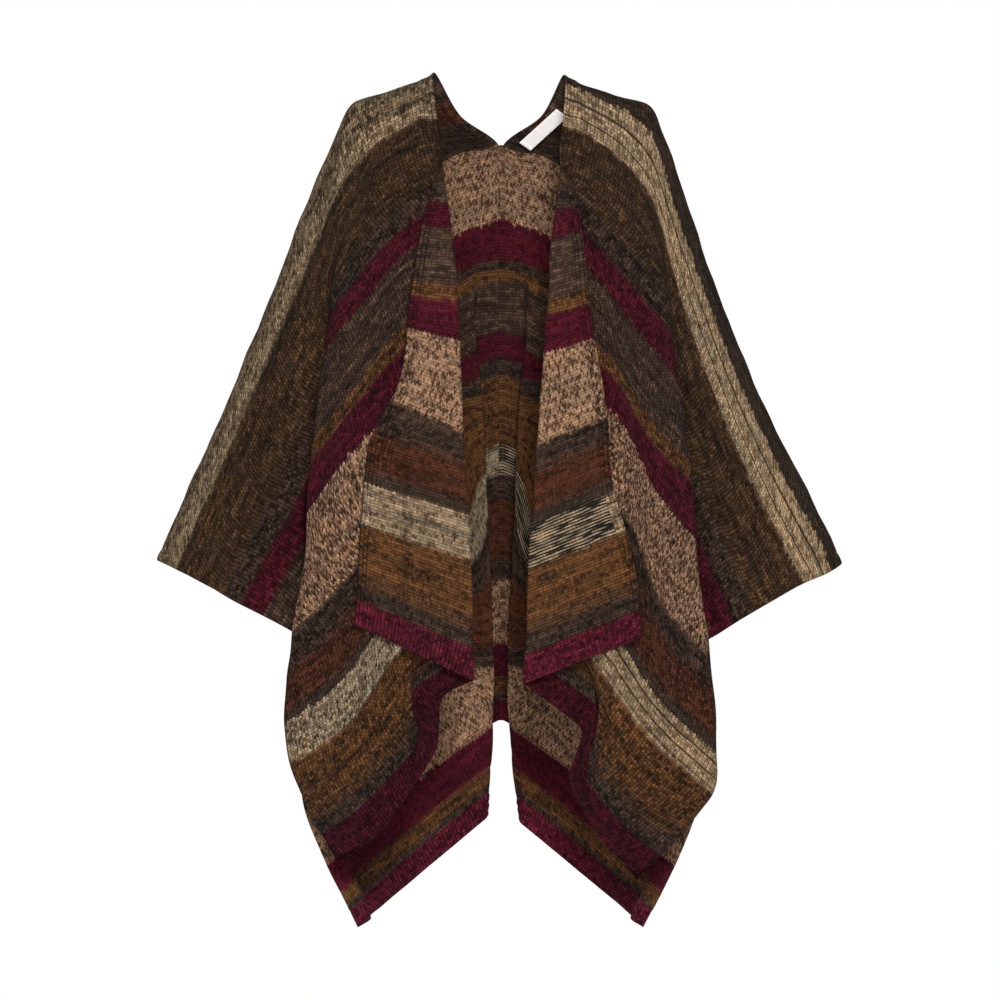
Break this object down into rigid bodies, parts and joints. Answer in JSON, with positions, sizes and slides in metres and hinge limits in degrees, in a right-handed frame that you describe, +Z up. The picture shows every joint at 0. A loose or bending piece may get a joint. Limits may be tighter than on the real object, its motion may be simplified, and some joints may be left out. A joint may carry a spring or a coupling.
{
  "type": "knitted open-front poncho sweater",
  "caption": "Open-front striped knit poncho with turned-back front edges, ribbed hems and a seam down the centre back, hollow as worn.",
  "frame": {"origin": "midway between the two neck points, on top of the shoulders", "axes": "+X to the right as seen from the front, +Y to the back, +Z up"},
  "size_m": [0.8857, 0.3725, 1.1114],
  "materials": {
    "striped_knit": "wool jersey in bands of ochre, brown, grey, burgundy, rust and cream",
    "burgundy_rib": "ribbed wool, burgundy",
    "woven_label": "plain woven ribbon, off-white, blank"
  },
  "bodies": {
    "root": {"left_panel": "striped_knit", "right_panel": "striped_knit", "left_front_rib": "burgundy_rib", "right_front_rib": "burgundy_rib", "left_back_rib": "burgundy_rib", "right_back_rib": "burgundy_rib", "centre_back_seam": "striped_knit", "neck_label": "woven_label"}
  },
  "joints": []
}
